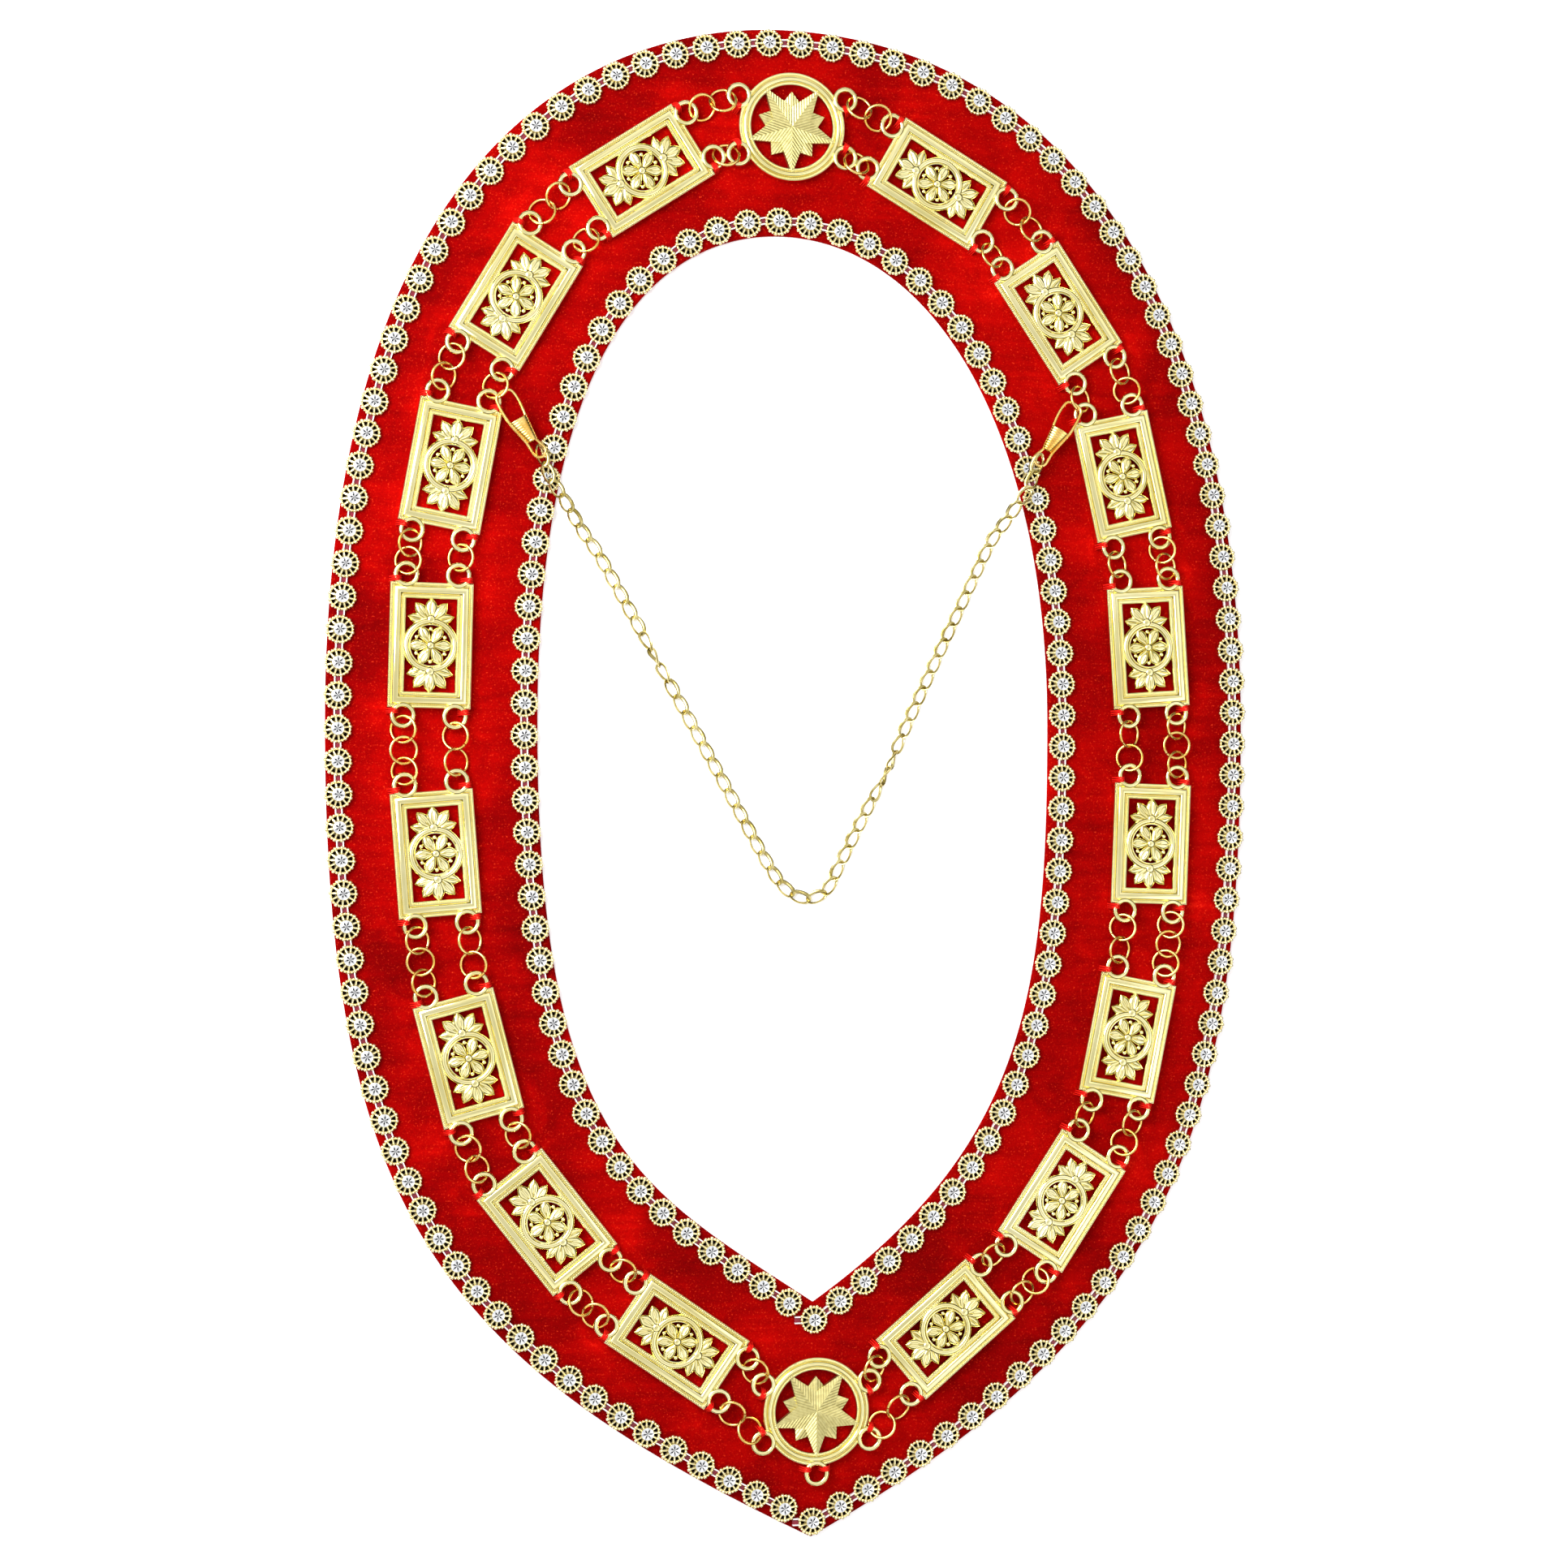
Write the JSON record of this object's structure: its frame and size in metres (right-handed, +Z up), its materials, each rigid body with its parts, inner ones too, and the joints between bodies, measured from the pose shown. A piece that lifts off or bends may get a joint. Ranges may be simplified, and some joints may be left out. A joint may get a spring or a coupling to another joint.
{
  "type": "regalia chain collar",
  "caption": "Flat velvet ceremonial collar set with pierced gilt plaques linked by rings, rhinestone edge bands, and a neck chain with a clasp at each end.",
  "frame": {"origin": "under the middle of the collar's outline, on the surface it lies on", "axes": "+Y towards the nape end, +X towards the collar's right side as seen from above, +Z up out of the velvet's face"},
  "size_m": [0.3494, 0.5588, 0.0104],
  "materials": {
    "velvet": "red pile velvet",
    "gilt_casting": "polished pale gold plate",
    "gilt_wire": "bright gold-plated wire",
    "rhinestone_setting": "gold-coloured flower settings with clear stones"
  },
  "bodies": {
    "root": {"clasp_left": "gilt_wire", "clasp_right": "gilt_wire", "curb_chain": "gilt_wire", "jump_ring_left_1": "gilt_wire", "jump_ring_left_2": "gilt_wire", "jump_ring_left_3": "gilt_wire", "jump_ring_left_4": "gilt_wire", "jump_ring_left_7": "gilt_wire", "jump_ring_left_8": "gilt_wire", "jump_ring_left_9": "gilt_wire", "jump_ring_right_1": "gilt_wire", "jump_ring_right_2": "gilt_wire", "jump_ring_right_3": "gilt_wire", "jump_ring_right_4": "gilt_wire", "jump_ring_right_7": "gilt_wire", "jump_ring_right_8": "gilt_wire", "jump_ring_right_9": "gilt_wire", "medallion_back": "gilt_casting", "medallion_front": "gilt_casting", "plaque_left_1": "gilt_casting", "plaque_left_2": "gilt_casting", "plaque_left_3": "gilt_casting", "plaque_left_4": "gilt_casting", "plaque_left_5": "gilt_casting", "plaque_left_6": "gilt_casting", "plaque_left_7": "gilt_casting", "plaque_left_8": "gilt_casting", "plaque_right_1": "gilt_casting", "plaque_right_2": "gilt_casting", "plaque_right_3": "gilt_casting", "plaque_right_4": "gilt_casting", "plaque_right_5": "gilt_casting", "plaque_right_6": "gilt_casting", "plaque_right_7": "gilt_casting", "plaque_right_8": "gilt_casting", "rhinestone_band_inner": "rhinestone_setting", "rhinestone_band_outer": "rhinestone_setting", "ring_row_left_inner_5": "gilt_wire", "ring_row_left_inner_6": "gilt_wire", "ring_row_left_outer_1": "gilt_wire", "ring_row_left_outer_2": "gilt_wire", "ring_row_left_outer_3": "gilt_wire", "ring_row_left_outer_4": "gilt_wire", "ring_row_left_outer_5": "gilt_wire", "ring_row_left_outer_6": "gilt_wire", "ring_row_left_outer_7": "gilt_wire", "ring_row_left_outer_8": "gilt_wire", "ring_row_left_outer_9": "gilt_wire", "ring_row_right_inner_5": "gilt_wire", "ring_row_right_inner_6": "gilt_wire", "ring_row_right_outer_1": "gilt_wire", "ring_row_right_outer_2": "gilt_wire", "ring_row_right_outer_3": "gilt_wire", "ring_row_right_outer_4": "gilt_wire", "ring_row_right_outer_5": "gilt_wire", "ring_row_right_outer_6": "gilt_wire", "ring_row_right_outer_7": "gilt_wire", "ring_row_right_outer_8": "gilt_wire", "ring_row_right_outer_9": "gilt_wire", "velvet_backing": "velvet"}
  },
  "joints": []
}
